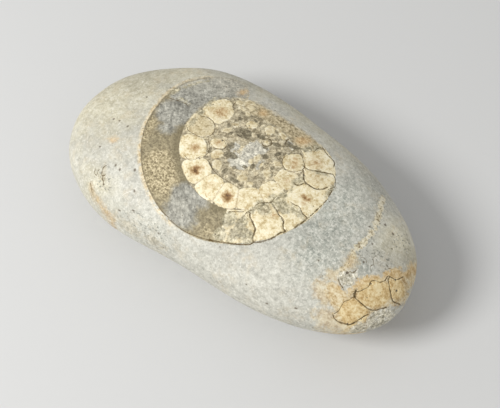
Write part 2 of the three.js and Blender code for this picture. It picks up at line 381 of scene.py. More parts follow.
        (0.15, [(-11.9, 13.2), (-11.7, 11.7), (-11.0, 10.8)]),
        (0.10, [(-12.6, -7.0), (-11.0, -7.3), (-10.0, -6.5), (-9.4, -5.2)]),
        (0.14, [(-10.3, -0.6), (-9.2, -1.6), (-8.6, -2.9), (-8.4, -4.0)]),
        (0.11, [(-9.6, 0.6), (-8.6, 1.4), (-7.4, 1.5), (-6.2, 0.8), (-5.8, -0.2), (-6.6, -1.1),
                (-7.9, -1.4)]),
        (0.12, [(-6.3, -5.6), (-4.8, -6.5), (-2.5, -7.1), (0.5, -7.1)]),
        (0.20, [(4.8, 11.0), (4.7, 10.2), (5.0, 9.5)]),
        (0.22, [(0.2, 7.2), (0.6, 7.9), (1.5, 8.1), (2.3, 7.6), (2.5, 6.9), (2.0, 6.0), (1.0, 5.7),
                (0.4, 6.2)]),
        (0.12, [(-26.6, 5.4), (-22.5, 5.9), (-20.6, 5.6)]),
        # on the second patch, at the narrow end
        (0.16, [(44.5, -2.0), (43.8, -3.7), (42.9, -4.2), (41.9, -4.6), (41.8, -5.9), (41.2, -7.0),
                (40.3, -7.4), (39.5, -8.2), (39.6, -9.4), (39.2, -10.5), (38.4, -11.8), (37.6, -12.5)]),
        (0.22, [(42.2, -4.5), (42.4, -5.3), (43.1, -6.0), (44.0, -6.9), (44.8, -7.6), (45.7, -7.9),
                (46.9, -7.0)]),
        (0.19, [(38.1, -13.4), (39.6, -13.4), (41.1, -13.3), (42.3, -13.0), (43.3, -12.3), (44.1, -11.3),
                (45.0, -10.0)]),
        (0.11, [(38.0, -13.5), (37.5, -14.6), (36.9, -15.4), (36.8, -16.5), (36.8, -17.6), (36.1, -18.8)]),
        (0.18, [(36.1, -18.8), (36.8, -19.1), (37.9, -19.0), (39.0, -18.5), (40.0, -18.0), (40.7, -17.2),
                (41.6, -15.5), (42.4, -14.0)]),
        (0.20, [(33.5, -12.6), (34.2, -13.1), (35.1, -13.4)]),
        (0.62, [(37.8, -12.2), (38.0, -12.7), (38.3, -13.2)]),
        (0.11, [(37.4, -2.6), (37.1, -3.7), (37.9, -4.6), (37.6, -5.6), (38.2, -6.3)]),
        (0.10, [(34.8, -5.3), (35.7, -4.9), (36.4, -5.5)]),
        (0.10, [(40.3, -2.8), (41.0, -3.1), (41.5, -2.7)]),
        (0.15, [(34.2, -10.4), (34.6, -9.6), (35.3, -9.3), (35.5, -8.4)]),
        # cracks in the plain stone
        (0.18, [(-28.4, -17.6), (-28.8, -18.3), (-28.6, -19.1), (-28.1, -19.9), (-27.4, -19.7)]),
        (0.16, [(-27.8, -19.8), (-27.6, -20.5), (-26.9, -20.9), (-26.5, -21.5)]),
        (0.12, [(-30.7, -19.2), (-30.3, -20.1), (-29.4, -20.4)]),
        (0.14, [(-30.2, -22.2), (-29.6, -23.0), (-29.0, -23.6)]),
    ],
}


def through(points, steps):
    # a smooth curve through given points, as an array of points on it
    points = np.array(points, float)
    padded = np.vstack([2 * points[0] - points[1], points, 2 * points[-1] - points[-2]])
    share = np.linspace(0, 1, steps, endpoint=False)[:, None]
    curve = []
    for before, start, end, after in zip(padded, padded[1:], padded[2:], padded[3:]):
        bend = 2 * before - 5 * start + 4 * end - after
        twist = 3 * start - before - 3 * end + after
        curve.append(start + 0.5 * share * (end - before + share * (bend + share * twist)))
    return np.vstack(curve + [points[-1:]])


def coilTable():
    turns = pebble["coilStart"] + pebble["coilStep"] * np.arange(len(pebble["coilEdge"]))
    curve = through(np.column_stack([turns, pebble["coilEdge"]]), 8)
    return curve[:, 0], curve[:, 1]


edgeTurns, edgeRadii = coilTable()


def edgeAt(turn):
    return np.interp(turn, edgeTurns, edgeRadii)


def coilPlace(x, y):
    # turn from 0 to 360 and distance from the coil's middle
    dx = x - pebble["coilMiddle"][0]
    dy = y - pebble["coilMiddle"][1]
    return np.degrees(np.arctan2(-dy, dx)) % 360, np.hypot(dx, dy)


def coilInside(turn, radius):
    # mm inside the coil's outline, negative outside it
    return np.where(turn < pebble["mouth"] - 360, edgeAt(turn + 360), edgeAt(turn)) - radius


def nearTurn(turn, target):
    # the same direction, on the whorl that holds the target turn
    return target + (turn - target + 180) % 360 - 180


def tubeInside(turn, radius, start, end):
    # mm inside a stretch of the shell's tube
    here = nearTurn(turn, (start + end) / 2)
    across = np.minimum(edgeAt(here) - radius, radius - edgeAt(here - 360))
    along = np.minimum(here - start, end - here) * np.radians(1) * radius
    return np.minimum(across, along)


def chamberInside(turn, radius, middle, reach):
    # mm inside one chamber of the tube, which is rounded between its septa
    power = pebble["chamberPower"]
    here = nearTurn(turn, middle)
    outer, inner = edgeAt(here), edgeAt(here - 360)
    across = np.abs(radius - (outer + inner) / 2) / ((outer - inner) / 2)
    along = np.abs(here - middle) / reach
    size = min(math.radians(reach) * pebble["chamberRadius"], pebble["chamberLimit"])
    return (1 - (across ** power + along ** power) ** (1 / power)) * size


def patchInside(x, y, middleX, middleY, halfLength, halfWidth, slant):
    # from 1 in the middle of an oval patch to 0 at its edge, negative outside it
    angle = math.radians(slant)
    along = (x - middleX) * math.cos(angle) + (y - middleY) * math.sin(angle)
    across = (y - middleY) * math.cos(angle) - (x - middleX) * math.sin(angle)
    return 1 - np.hypot(along / halfLength, across / halfWidth)


def patches(x, y, name):
    # mm inside the nearest of a list of oval patches
    inside = [patchInside(x, y, *spot) * min(spot[2], spot[3]) for spot in pebble[name]]
    return np.max(inside, axis=0)


def nearPath(x, y, points):
    # signed and plain distance to one smooth path
    curve = through(points, 6)
    near = np.full(len(x), farAway)
    side = np.full(len(x), farAway)
    for (startX, startY), (endX, endY) in zip(curve, curve[1:]):
        dx, dy = endX - startX, endY - startY
        offX, offY = x - startX, y - startY
        share = np.clip((offX * dx + offY * dy) / (dx * dx + dy * dy), 0, 1)
        away = np.hypot(offX - share * dx, offY - share * dy)
        closer = away < near
        side = np.where(closer, np.copysign(away, dx * offY - dy * offX), side)
        near = np.where(closer, away, near)
    return side, near


def seamPlace(x, y):
    # signed and plain distance to the nearest seam, and that seam's width
    near = np.full(len(x), farAway)
    side = np.full(len(x), farAway)
    width = np.zeros(len(x))
    margin = 1.5    # mm
    for seamWidth, points in pebble["seams"]:
        curve = through(points, 6)
        lowX, lowY = curve.min(axis=0) - margin
        highX, highY = curve.max(axis=0) + margin
        around = np.flatnonzero((x > lowX) & (x < highX) & (y > lowY) & (y < highY))
        lineSide, lineNear = nearPath(x[around], y[around], points)
        closer = lineNear < near[around]
        found = around[closer]
        near[found] = lineNear[closer]
        side[found] = lineSide[closer]
        width[found] = seamWidth
    return side, near, width


def onTop(z):
    return z > 0.5 * (cadHigh[2] - cadLow[2]) / mm


def ramp(value, low, high):
    share = np.clip((value - low) / (high - low), 0, 1)
    return share * share * (3 - 2 * share)


def tones(x, y, name):
    # soft broad patches added up
    total = np.zeros(len(x))
    for *spot, amount in pebble[name]:
        total += amount * np.exp(-(1 - patchInside(x, y, *spot)) ** 2)
    return np.clip(total, -1, 1)


def calciteFields(x, y, turn, radius):
    # mm inside the calcite, how stained it is, and mm from the wall between two chambers
    inside = [tubeInside(turn, radius, *pebble["outerTube"])]
    stains = [pebble["outerStain"]]
    for middle, reach, stain in pebble["chambers"]:
        inside.append(chamberInside(turn, radius, middle, reach))
        stains.append(stain)
    for *spot, stain in pebble["lumps"]:
        inside.append(patchInside(x, y, *spot) * min(spot[2], spot[3]))
        stains.append(stain)
    inside = np.array(inside)
    # each chamber pulls on a place the more, the deeper the place lies in it; the limits keep exp in range
    pull = np.exp(np.clip(inside, -4, 4) / pebble["shellBlend"])
    total = pull.sum(axis=0)
    stain = (pull * np.array(stains)[:, None]).sum(axis=0) / total + tones(x, y, "stainTones")
    deepest = np.sort(inside, axis=0)
    return np.log(total) * pebble["shellBlend"], np.clip(stain, 0, 1), deepest[-1] - deepest[-2]


def markings(places):
    # every marking as one value at each place
    x, y, z = places.T
    turn, radius = coilPlace(x, y)
    side, near, width = seamPlace(x, y)
    calcite, stain, wall = calciteFields(x, y, turn, radius)
    rimStart, rimEnd = pebble["rimTurns"]
    along = np.minimum(turn + 360 - rimStart, rimEnd - turn - 360)
    fromVague = np.abs(nearTurn(turn, pebble["vagueTurn"]) - pebble["vagueTurn"])
    livingMiddle = sum(pebble["livingTube"]) / 2
    heart = np.zeros(len(x))
    for heartX, heartY, size, strength in pebble["hearts"]:
        inside = patchInside(x, y, heartX, heartY, size, size, 0)
        heart = np.maximum(heart, strength * np.clip(inside, 0, 1))
    scratchSide = np.full(len(x), farAway)
    for points in pebble["scratches"]:
        lineSide, lineNear = nearPath(x, y, points)
        scratchSide = np.where(lineNear < pebble["scratchReach"], lineSide, scratchSide)
    drawIn = np.maximum(0, pebble["ochreFoot"] - z) * pebble["ochreFade"]
    inOutline = {name: patches(x, y, name) for name in pebble["patchLists"]} | {
        "coil": coilInside(turn, radius),
        "living": tubeInside(turn, radius, *pebble["livingTube"]),
        "calcite": calcite,
        "worn": tubeInside(turn, radius, *pebble["wornTube"]),
    }
    fromLine = {
        "seamSide": side,
        "seamNear": near,
        "vein": nearPath(x, y, pebble["vein"])[1],
        "band": nearPath(x, y, pebble["ochreBand"])[1],
        "scratch": scratchSide,
    }
    onUpperHalf = onTop(z)
    found = {name: np.where(onUpperHalf, values, -farAway) for name, values in inOutline.items()}
    found |= {name: np.where(onUpperHalf, values, farAway) for name, values in fromLine.items()}
    found["heart"] = np.where(onUpperHalf, heart, 0)
    return found | {name: tones(x, y, name) for name in pebble["toneLists"]} | {
        "stain": stain,
        "wall": wall,
        "fuzz": ramp(fromVague, *pebble["vagueReach"]),    # 1 where the coil's edge is vague
        "rim": ramp(along, 0, pebble["rimFade"]),    # 1 where a tan line runs round it
        "lining": radius - edgeAt(nearTurn(turn, livingMiddle) - 360),    # mm from the whorl inside it
        "seamWidth": width,
        "foot": nearPath(x, y, pebble["footStain"])[1] + np.maximum(0, pebble["footHeight"] - z),
        "ochre": patches(x, y, "ochrePatches") - drawIn,
        "hint": patches(x, y, "ochreHints") - drawIn,
    }


def makeBody():
    # a finer, rounded copy of the CAD body
    bm = bmesh.new()
    bm.from_mesh(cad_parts[pebble["node"]].data)
    bmesh.ops.remove_doubles(bm, verts=bm.verts, dist=1e-6)
    bmesh.ops.subdivide_edges(bm, edges=bm.edges, cuts=1, use_grid_fill=True, smooth=1.0)
    for vert in bm.verts:
        vert.co.z = max(vert.co.z, 0)
    return bm


def longestAllowed(middles):
    # how long an edge may be at each place
    x, y, z = middles.T / mm
    ochreX, ochreY, ochreReach = pebble["ochreArea"]
    inCoil = coilInside(*coilPlace(x, y)) > -pebble["fossilMargin"]
    inOchre = np.hypot(x - ochreX, y - ochreY) < ochreReach
    onSeam = seamPlace(x, y)[1] < pebble["seamMargin"]
    limit = np.full(len(x), pebble["plainEdge"])
    limit[(inCoil | inOchre) & onTop(z)] = pebble["fossilEdge"]
    limit[onSeam & onTop(z)] = pebble["seamEdge"]
    return limit * mm


def refine(bm):
    # cuts edges in half until all are short enough, then smooths the surface
    for step in range(pebble["halvings"]):
        edges = list(bm.edges)
        ends = np.array([[edge.verts[0].co, edge.verts[1].co] for edge in edges])
        lengths = np.linalg.norm(ends[:, 0] - ends[:, 1], axis=1)
        tooLong = lengths > longestAllowed(ends.mean(axis=1))
        if not tooLong.any():
            break
        chosen = [edge for edge, cut in zip(edges, tooLong) if cut]
        bmesh.ops.subdivide_edges(bm, edges=chosen, cuts=1, use_grid_fill=True, use_single_edge=True)
        bmesh.ops.triangulate(bm, faces=[face for face in bm.faces if len(face.verts) > 3])
    axes = {"use_axis_x": True, "use_axis_y": True, "use_axis_z": True}
    for step in range(pebble["smoothings"]):
        bmesh.ops.smooth_vert(bm, verts=bm.verts, factor=0.5, **axes)


def roughness(places, size, seed):
    # smooth noise from -1 to 1 at each place, with lumps of the given size; the seed picks where it is read
    offset = Vector((seed * 17.3, seed * 5.1, seed * 9.7))
    return np.array([noise.noise(Vector(place) / size + offset) for place in places])


def porePlaces(places):
    # the listed pores on the top, then strays all over
    chance = np.random.default_rng(pebble["straySeed"])
    top = np.flatnonzero(onTop(places[:, 2]))
    pores = []
    for x, y, size, depth in pebble["pores"]:
        nearest = top[np.argmin(np.hypot(places[top, 0] - x, places[top, 1] - y))]
        pores.append((places[nearest], size, depth))
    for step in range(pebble["strayPores"]):
        size = chance.uniform(*pebble["straySize"])
        middle = places[chance.integers(len(places))]
        pores.append((middle, size, size * chance.uniform(*pebble["strayDepth"])))
    return pores


def relief(places, found):
    # how far each place stands out, in mm, and how deep in a pore it is
    swellHeight, swellSize = pebble["swell"]
    rippleHeight, rippleSize = pebble["ripple"]
    height = swellHeight * roughness(places, swellSize, 1)
    height += rippleHeight * roughness(places, rippleSize, 2)
    # the 0.02 mm keeps the groove's reach above 0 where there is no seam
    fromSeam = found["seamNear"] / (pebble["seamFlare"] * found["seamWidth"] + 0.02)
    inner = ramp(found["coil"], 0, 0.6) * ramp(-found["living"], 0, 0.3) * ramp(-found["calcite"], 0, 0.3)
    height += pebble["shellRise"] * ramp(found["calcite"], -0.1, 0.4)
    height -= pebble["livingSink"] * ramp(found["living"], 0, 1.0)
    height -= pebble["seamDepth"] * found["seamWidth"] * np.exp(-fromSeam ** 2)
    height -= pebble["heartDepth"] * ramp(found["heart"], 0.3, 0.9)
    height -= pebble["innerSink"] * inner
    height -= pebble["chipSink"] * ramp(found["chipped"], -0.4, 0.8)
    rough = pebble["gritRough"] * ramp(found["grittyPatches"], -0.5, 1.0)
    rough += pebble["innerRough"] * inner
    rough += pebble["chipRough"] * ramp(found["chipped"], -0.4, 0.6)
    rough += pebble["ochreRough"] * ramp(found["ochre"], 0, 1.5)
    height += rough * roughness(places, pebble["fineLumps"], 3)
    pore = np.zeros(len(places))
    for middle, size, depth in porePlaces(places):
        away = np.linalg.norm(places - middle, axis=1)
        dent = np.exp(-(away / size) ** 3)
        height -= depth * dent
        pore = np.maximum(pore, dent)
    return height, pore


def carve(mesh):
    # moves every vertex along its normal and stores the markings for the material
    count = len(mesh.vertices)
    places = np.empty(count * 3)
    normals = np.empty(count * 3)
    mesh.vertices.foreach_get("co", places)
    mesh.vertex_normals.foreach_get("vector", normals)
    places = places.reshape(-1, 3) / mm
    normals = normals.reshape(-1, 3)
    found = markings(places)
    height, pore = relief(places, found)
    height *= ramp(places[:, 2], *pebble["restFade"])
    places += normals * height[:, None]
    places[:, 2] = np.maximum(places[:, 2], 0)
    mesh.vertices.foreach_set("co", (places * mm).ravel())
    found["pore"] = pore
    for name, values in found.items():
        mesh.attributes.new(name, "FLOAT", "POINT").data.foreach_set("value", values.astype(np.float32))
    mesh.update()


bm = makeBody()
refine(bm)
for face in bm.faces:
    face.smooth = True
mesh = bpy.data.meshes.new("pebble")
bm.to_mesh(mesh)
bm.free()
piece = addObject("pebble", mesh)
print("the body has", len(mesh.polygons), "triangles")
carve(mesh)
print("the fossil is carved")

# The pebble's material. A mineral is mottled from a dark through a middle to a light colour, written as
# #rrggbb. Its size is that of the mottles in mm, grain is how much single grains differ, and seed picks
# the pattern. A mark has one colour. Cover is how much either hides of what lies under it, which is all
# of it where none is given.

stone = {
    "plain": dict(colours=("#9f9d92", "#bebcb0", "#d8d6ca"), size=1.4, contrast=6.0, grain=0.6, seed=2),
    "warm": dict(colours=("#aea78f", "#c4bea6", "#d8d3bf"), size=1.7, contrast=8.5, grain=0.8, seed=3),
    "cool": dict(colours=("#8c8f86", "#b1b3a7", "#dad9ce"), size=1.4, contrast=9.0, grain=1.1, seed=5),
    "foot": dict(
        colours=("#8a6e44", "#b7996a", "#d2be93"), size=1.0, contrast=9.0, grain=0.5, seed=12, cover=0.85),
    "chip": dict(
        colours=("#6f644b", "#b5a88a", "#ddd3ba"), size=1.0, contrast=12.0, grain=0.5, seed=10, cover=0.45),
    "vein": dict(
        colours=("#7b6846", "#dacfae", "#efe8d2"), size=1.2, contrast=12.0, grain=0.5, seed=11, cover=0.9),
    "rimLine": dict(
        colours=("#b0976b", "#dac79f", "#ede3c8"), size=0.9, contrast=9.0, grain=1.0, seed=53, cover=0.9),
    "rub": dict(colour="#cbb996", cover=0.3),
    "fleck": dict(colour="#e0ddd1", cover=0.6),
    "speck": dict(colour="#77776c"),
    "crumb": dict(colour="#77776c", cover=0.6),
    "scratch": dict(colour="#e2e0d6", cover=0.6),
    "pore": dict(colour="#6a6050"),
    "roughness": 0.62,
}

filling = {
    "inner": dict(colours=("#7a6e53", "#bcaf90", "#e6dbbb"), size=1.4, contrast=7.0, grain=1.0, seed=21),
    "spar": dict(
        colours=("#9c998e", "#d0ccbb", "#eee9d7"), size=1.2, contrast=6.8, grain=1.0, seed=23, cover=0.9),
    "core": dict(
        colours=("#3f3929", "#6d644c", "#9f957b"), size=1.0, contrast=7.0, grain=1.1, seed=22, cover=0.85),
    "worn": dict(colours=("#7a6c4e", "#b3a481", "#dccdaa"), size=1.4, contrast=8.0, grain=1.2, seed=24),
    "murky": dict(
        colours=("#736c54", "#b3aa8b", "#dfd6b8"), size=1.2, contrast=8.0, grain=1.2, seed=52, cover=0.85),
    "brown": dict(colours=("#665c45", "#8f8468", "#b9ac8a"), size=0.9, contrast=5.5, grain=0.8, seed=31),
    "grit": dict(colours=("#73664a", "#ab9d7a", "#decfaa"), size=0.5, contrast=8.5, grain=1.5, seed=32),
    "grey": dict(colours=("#6e6d65", "#9b998e", "#c2c0b3"), size=2.2, contrast=8.0, grain=0.8, seed=33),
    "faded": dict(colours=("#a09d90", "#c0bcac", "#d8d3c2"), size=2.2, contrast=9.0, grain=0.8, seed=34),
    "lining": dict(colour="#6f6549", cover=0.6),
    "greyCover": 0.95,
    "roughness": 0.75,
}

calcite = {
    "cream": dict(colours=("#bfa97a", "#ebdeb7", "#f8f0d6"), size=2.0, contrast=7.5, grain=1.0, seed=41),
    "stained": dict(colours=("#94805a", "#c5b48b", "#e5d8b3"), size=1.2, contrast=7.0, grain=1.0, seed=43),
    "halo": dict(colours=("#a3845a", "#c8ab7d", "#dfcaa0"), size=1.0, contrast=7.0, grain=0.7, seed=45),
    "rust": dict(
        colours=("#ab8655", "#d2b17f", "#e5cca0"), size=0.9, contrast=8.0, grain=1.0, seed=62, cover=0.8),
    "heart": dict(colour="#8d6b40"),
    "core": dict(colour="#5c4023"),
    "wall": dict(colour="#a8916a", cover=0.6),
    "lip": dict(colour="#6f634a", cover=0.5),
    "outline": dict(colour="#6f634a", cover=0.6),
    "seam": dict(colour="#59461c"),
    "roughness": 0.48,
}

ochre = {
    "body": dict(colours=("#a58759", "#d2bd93", "#e9debf"), size=1.8, contrast=9.0, grain=0.8, seed=12),
    "band": dict(
        colours=("#ac8b54", "#d3b582", "#e8d5ac"), size=1.5, contrast=9.0, grain=0.8, seed=14, cover=0.85),
    "chamber": dict(colours=("#b18f57", "#dcc28e", "#efe0b6"), size=1.6, contrast=7.0, grain=0.9, seed=13),
    "grey": dict(
        colours=("#857e69", "#d8d1ba", "#f3efe0"), size=1.2, contrast=9.0, grain=1.0, seed=16, cover=0.9),
    "hintCover": 0.64,
}


def hue(code):
    parts = [int(code[start:start + 2], 16) / 255 for start in (1, 3, 5)]
    return (*[part / 12.92 if part < 0.0405 else ((part + 0.055) / 1.055) ** 2.4 for part in parts], 1)


def fill(tree, made, inputs):
    # links or fills the inputs of a node; a string is the name of a marking
    for name, value in inputs.items():
        if isinstance(value, str):
            value = addNode(tree, "Attribute", {}, attribute_name=value).outputs["Fac"]
        if isinstance(value, bpy.types.NodeSocket):
            tree.links.new(value, made.inputs[name])
        else:
            made.inputs[name].default_value = value


def addNode(tree, kind, inputs, **settings):
    made = tree.nodes.new("ShaderNode" + kind)
    for name, value in settings.items():
        setattr(made, name, value)
    fill(tree, made, inputs)
    return made


def maths(tree, operation, first, second=0.0, third=0.0, clamp=False):
    made = addNode(tree, "Math", {0: first, 1: second, 2: third}, operation=operation, use_clamp=clamp)
    return made.outputs[0]


def times(tree, *factors):
    product = factors[0]
    for factor in factors[1:]:
        product = maths(tree, "MULTIPLY", product, factor)
    return product


def between(tree, share, low, high):
    # low where the share is 0, high where it is 1
    return maths(tree, "MULTIPLY_ADD", share, high - low, low)


def rise(tree, value, low, high):
    # 0 below low, 1 above high and smooth between; it falls where low is above high
    limits = {"Value": value, "From Min": low, "From Max": high}
    return addNode(tree, "MapRange", limits, interpolation_type="SMOOTHSTEP").outputs[0]


def cover(tree, share, under, over):
    # one colour over another
    return addNode(tree, "Mix", {0: share, 6: under, 7: over}, data_type="RGBA").outputs[2]


def shade(tree, colour, factor):
    return addNode(tree, "VectorMath", {0: colour, "Scale": factor}, operation="SCALE").outputs[0]


def lumps(tree, place, size, detail=3.0, rough=0.6):
    # noise from 0 to 1 with lumps of one size
    scale = maths(tree, "DIVIDE", 1.0, size)
    noiseInputs = {"Vector": place, "Scale": scale, "Detail": detail, "Roughness": rough}
    return addNode(tree, "TexNoise", noiseInputs).outputs[0]


def moved(tree, place, seed):
    shift = addNode(tree, "CombineXYZ", {"X": seed, "Y": seed, "Z": seed}).outputs[0]
    return addNode(tree, "VectorMath", {0: place, 1: shift}, operation="ADD").outputs[0]


def startGroup(name, inputs, output, outputKind="Float"):
    # a node group; an input that has None for its default is a place, and one with four numbers a colour
    tree = bpy.data.node_groups.new(name, "ShaderNodeTree")
    for inputName, default in inputs.items():
        kind = "Vector" if default is None else "Color" if isinstance(default, tuple) else "Float"
        socket = tree.interface.new_socket(inputName, in_out="INPUT", socket_type="NodeSocket" + kind)
        if default is not None:
            socket.default_value = default
    tree.interface.new_socket(output, in_out="OUTPUT", socket_type="NodeSocket" + outputKind)
    return tree, tree.nodes.new("NodeGroupInput").outputs


def endGroup(tree, result):
    tree.links.new(result, tree.nodes.new("NodeGroupOutput").inputs[0])
    return tree


def makeFrayedEdge():
    # a mask from a distance, its edge broken up by noise
    tree, given = startGroup("frayedEdge", {
        "Distance": 0.0, "Place": None, "Lump Size": 0.5, "Fray": 0.1, "Softness": 0.05,
    }, "Mask")
    cloud = lumps(tree, given["Place"], given["Lump Size"], 5.0, 0.75)
    wobble = times(tree, maths(tree, "SUBTRACT", cloud, 0.5), given["Fray"], 4.0)
    distance = maths(tree, "ADD", given["Distance"], wobble)
    low = maths(tree, "MULTIPLY", given["Softness"], -1.0)
    return endGroup(tree, rise(tree, distance, low, given["Softness"]))


def makeBlotches():
    # a mask of scattered spots; a higher threshold leaves fewer of them
    tree, given = startGroup("blotches", {
        "Place": None, "Size": 0.5, "Threshold": 0.55, "Softness": 0.05, "Seed": 0.0,
    }, "Mask")
    cloud = lumps(tree, moved(tree, given["Place"], given["Seed"]), given["Size"], 2.0)
    low = maths(tree, "SUBTRACT", given["Threshold"], given["Softness"])
    high = maths(tree, "ADD", given["Threshold"], given["Softness"])
    return endGroup(tree, rise(tree, cloud, low, high))


def makeHairline():
    # a mask of a thin wandering line, in places thinner or thicker than its width
    tree, given = startGroup("hairline", {
        "Side": farAway, "Near": farAway, "Place": None, "Width": 0.2, "Wander": 0.06,
    }, "Mask")
    cloud = lumps(tree, given["Place"], 0.7)
    wobble = times(tree, maths(tree, "SUBTRACT", cloud, 0.5), given["Wander"], 4.0)
    away = maths(tree, "ABSOLUTE", maths(tree, "ADD", given["Side"], wobble))
    swell = between(tree, lumps(tree, given["Place"], 0.5, 2.0), -0.3, 2.3)
    breadth = times(tree, given["Width"], swell)
    inner = maths(tree, "MULTIPLY", breadth, 0.3)
    outer = maths(tree, "MULTIPLY", breadth, 0.85)
    return endGroup(tree, times(tree, rise(tree, away, outer, inner), rise(tree, given["Near"], 0.7, 0.5)))


def makeMineral():
    # a mottled colour from a dark, a middle and a light one
    tree, given = startGroup("mineral", {
        "Place": None, "Size": 1.0, "Seed": 0.0, "Contrast": 3.0, "Roughness": 0.85, "Grain": 0.5,
        "Grain Size": 0.4,
        "Dark": (0.2, 0.2, 0.2, 1), "Middle": (0.4, 0.4, 0.4, 1), "Light": (0.6, 0.6, 0.6, 1),
    }, "Color", "Color")
    cloud = lumps(tree, moved(tree, given["Place"], given["Seed"]), given["Size"], 7.0, given["Roughness"])
    scale = maths(tree, "DIVIDE", 1.0, given["Grain Size"])
    cells = addNode(tree, "TexVoronoi", {"Vector": given["Place"], "Scale": scale}).outputs["Color"]
    grain = addNode(tree, "SeparateXYZ", {0: cells}).outputs[0]
    swing = maths(tree, "MULTIPLY", maths(tree, "SUBTRACT", cloud, 0.5), given["Contrast"])
    swing = maths(tree, "ADD", swing, times(tree, maths(tree, "SUBTRACT", grain, 0.5), given["Grain"]))
    darker = maths(tree, "MULTIPLY", swing, -1.0, clamp=True)
    lighter = maths(tree, "MULTIPLY", swing, 1.0, clamp=True)
    colour = cover(tree, darker, given["Middle"], given["Dark"])
    return endGroup(tree, cover(tree, lighter, colour, given["Light"]))


def makeFacets():
    # a random number for each grain of crystal, 0 in the gaps between them
    tree, given = startGroup("facets", {"Place": None, "Size": 0.8, "Seed": 0.0}, "Value")
    place = moved(tree, given["Place"], given["Seed"])
    bend = addNode(tree, "TexNoise", {"Vector": place, "Scale": 1.2, "Detail": 2.0}).outputs[1]
    bend = shade(tree, bend, 0.8)
    place = addNode(tree, "VectorMath", {0: place, 1: bend}, operation="ADD").outputs[0]
    inputs = {"Vector": place, "Scale": maths(tree, "DIVIDE", 1.0, given["Size"])}
    cells = addNode(tree, "TexVoronoi", inputs).outputs["Color"]
    gaps = addNode(tree, "TexVoronoi", inputs, feature="DISTANCE_TO_EDGE").outputs[0]
    value = addNode(tree, "SeparateXYZ", {0: cells}).outputs[0]
    return endGroup(tree, times(tree, value, rise(tree, gaps, 0.0, 0.12)))


frayedEdge = makeFrayedEdge()
blotches = makeBlotches()
hairline = makeHairline()
mineral = makeMineral()
facets = makeFacets()


def onPebble(tree):
    # the place on the pebble in mm, from the node that makeLimestone names so
    return tree.nodes["place"].outputs[0]


def useGroup(tree, group, inputs):
    made = tree.nodes.new("ShaderNodeGroup")
    made.node_tree = group
    fill(tree, made, {"Place": onPebble(tree)} | inputs)
    return made.outputs[0]


def edge(tree, distance, lump, fray, softness):
    # the mask of a marking or of another distance
    return useGroup(tree, frayedEdge, {
        "Distance": distance, "Lump Size": lump, "Fray": fray, "Softness": softness,
    })


def within(tree, name, reach):
    # mm inside a band that reaches this far to each side of a line
    return maths(tree, "SUBTRACT", reach, name)


def spots(tree, size, threshold, softness, seed):
    return useGroup(tree, blotches, {
        "Size": size, "Threshold": threshold, "Softness": softness, "Seed": seed,
    })


def crystals(tree, size, amount, seed):
    # a factor round 1 that differs from grain to grain
    cell = useGroup(tree, facets, {"Size": size, "Seed": seed})
    return between(tree, cell, 1 - amount / 2, 1 + amount / 2)


def rock(tree, look):
    dark, middle, light = map(hue, look["colours"])
    return useGroup(tree, mineral, {
        "Size": look["size"], "Contrast": look["contrast"], "Grain": look["grain"], "Seed": look["seed"],
        "Dark": dark, "Middle": middle, "Light": light,
    })


def layer(tree, mask, under, look, factor=None):
    # a mineral or a mark over a colour; the factor makes it lighter or darker in places
    over = rock(tree, look) if "colours" in look else hue(look["colour"])
    over = shade(tree, over, factor) if factor else over
    mask = times(tree, mask, look["cover"]) if "cover" in look else mask
    return cover(tree, mask, under, over)


def stoneColour(tree):
    # warm, plain and cool limestone with clouds, painted shade and painted light, a stained foot, flecks,
    # specks and chipped places
    frayed = between(tree, spots(tree, size=3.0, threshold=0.5, softness=0.2, seed=1), -0.15, 0.15)
    warm = rise(tree, maths(tree, "ADD", "warmTones", frayed), 0.0, 1.0)
    colour = layer(tree, warm, rock(tree, stone["plain"]), stone["warm"])
    uneven = between(tree, spots(tree, size=1.6, threshold=0.5, softness=0.15, seed=4), 0.6, 1.1)
    colour = layer(tree, times(tree, "coolTones", uneven), colour, stone["cool"])
    broad = spots(tree, size=5.0, threshold=0.58, softness=0.1, seed=6)
    fine = spots(tree, size=1.2, threshold=0.5, softness=0.2, seed=7)
    colour = layer(tree, times(tree, broad, fine), colour, stone["rub"])
    clouds = between(tree, lumps(tree, moved(tree, onPebble(tree), 10), 9.0), 0.75, 1.25)
    # painted shade and painted light at the ends and edges, with the stone's own lighter and darker tones
    # and clouds
    colour = shade(tree, colour, maths(tree, "ADD", "lightness", clouds))
    foot = edge(tree, within(tree, "foot", 0.3), lump=1.5, fray=0.5, softness=0.6)
    colour = layer(tree, foot, colour, stone["foot"])
    flecks = spots(tree, size=0.55, threshold=0.64, softness=0.04, seed=8)
    colour = layer(tree, flecks, colour, stone["fleck"])
    speckled = rise(tree, "speckled", -0.5, 1.5)
    threshold = between(tree, speckled, 0.67, 0.61)
    specks = spots(tree, size=0.6, threshold=threshold, softness=0.03, seed=9)
    strength = maths(tree, "ADD", between(tree, "coolTones", 0.3, 0.2), times(tree, speckled, 0.5))
    colour = layer(tree, times(tree, specks, strength), colour, stone["speck"])
    chips = edge(tree, "chipped", lump=0.8, fray=0.5, softness=0.2)
    return layer(tree, chips, colour, stone["chip"])


def veinColour(tree, colour):
    # the broken vein, with dark crumbs along it
    crumbs = spots(tree, size=0.6, threshold=0.56, softness=0.03, seed=18)
    crumbs = times(tree, crumbs, rise(tree, "vein", 1.6, 0.6))
    colour = layer(tree, crumbs, colour, stone["crumb"])
    vein = edge(tree, within(tree, "vein", 0.6), lump=1.4, fray=0.8, softness=0.2)
    return layer(tree, vein, colour, stone["vein"])


